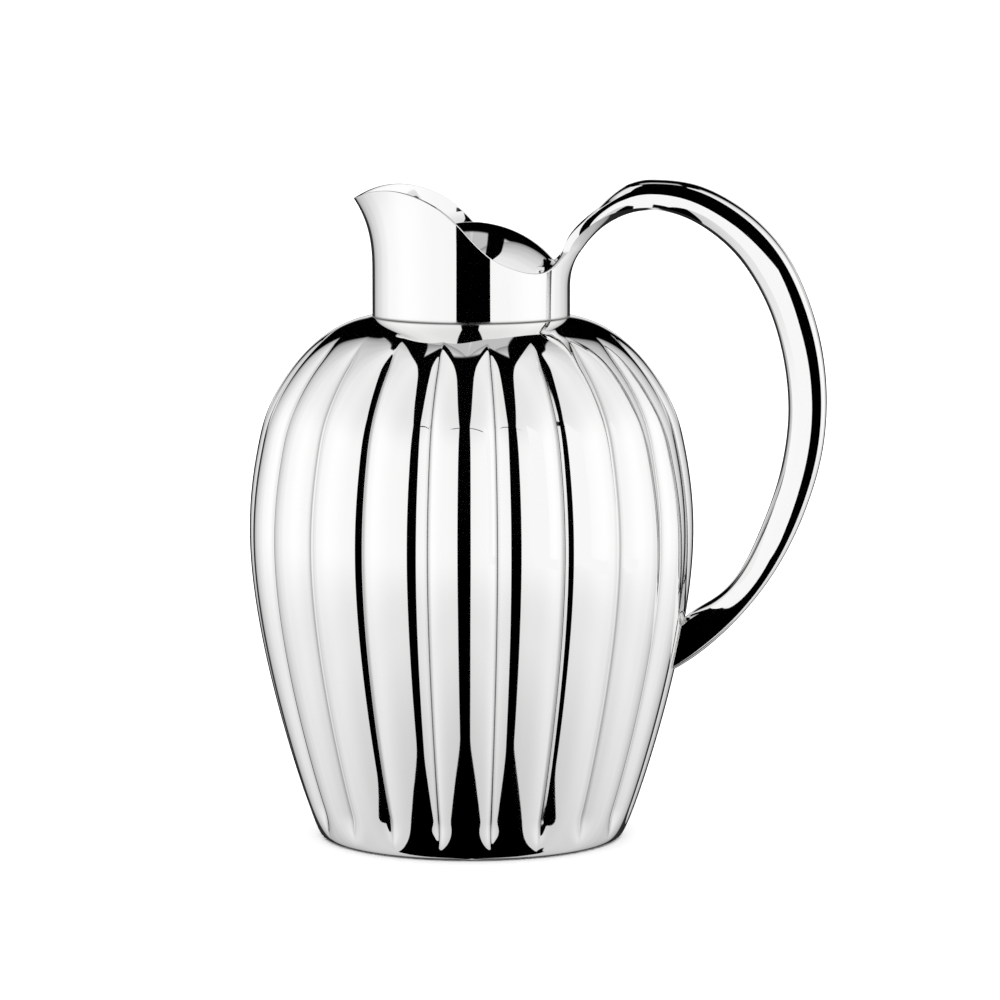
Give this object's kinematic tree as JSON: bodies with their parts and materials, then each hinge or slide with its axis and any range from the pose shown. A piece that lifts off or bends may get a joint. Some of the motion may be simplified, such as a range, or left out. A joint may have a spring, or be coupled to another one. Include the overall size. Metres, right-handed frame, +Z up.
{
  "type": "insulated pouring jug",
  "caption": "Ribbed, mirror-polished steel vacuum jug with a flared pouring collar, a tall loop handle and a domed press-to-pour lid on a lift-out stopper.",
  "frame": {"origin": "centre of the round body's axis, on the plane the jug stands on", "axes": "+Z up along the body's axis, -X towards the spout, +X towards the handle, Y across"},
  "size_m": [0.1973, 0.1522, 0.2255],
  "materials": {
    "polished_steel": "mirror polished stainless steel",
    "flask_steel": "satin drawn stainless steel",
    "screw_steel": "machined stainless steel",
    "spring_steel": "drawn stainless wire",
    "dark_plastic": "fine satin moulded plastic",
    "dark_rubber": "matt rubber",
    "seal_rubber": "translucent grey silicone",
    "foam": "rigid insulating foam"
  },
  "bodies": {
    "jug": {"outer_shell": "polished_steel", "base_ring": "flask_steel", "base_cover": "dark_plastic", "base_pad": "dark_rubber", "base_screws": "screw_steel", "flask_outer": "flask_steel", "flask_inner": "flask_steel", "vacuum_cap": "flask_steel", "flask_cushion": "dark_rubber", "centring_ring": "seal_rubber", "mouth_gasket": "seal_rubber", "mouth_ring": "dark_plastic", "collar": "polished_steel", "collar_nut": "dark_plastic", "clamp_washer": "screw_steel", "handle": "polished_steel", "foot_pad": "seal_rubber", "foot_screw": "screw_steel", "foot_washer": "screw_steel"},
    "stopper": {"stopper_sleeve": "dark_plastic", "stopper_top": "dark_plastic", "pour_tube": "dark_plastic", "stopper_core": "foam", "stopper_cap": "dark_plastic", "stopper_gasket": "seal_rubber", "hinge_pin": "screw_steel", "return_spring": "spring_steel"},
    "lid": {"lid_dome": "polished_steel", "lid_frame": "dark_plastic", "valve_seal": "seal_rubber"}
  },
  "joints": [
    {"name": "stopper_lift", "type": "slide", "parent": "jug", "child": "stopper", "axis": [0, 0, 1], "range_m": [0, 0.085]},
    {"name": "lid_tilt", "type": "hinge", "parent": "stopper", "child": "lid", "pos_m": [0.008, 0, 0.193], "axis": [0, 1, 0], "range_deg": [0, 22], "stiffness_Nm_per_rad": 0.15, "springref_deg": -20.05}
  ]
}
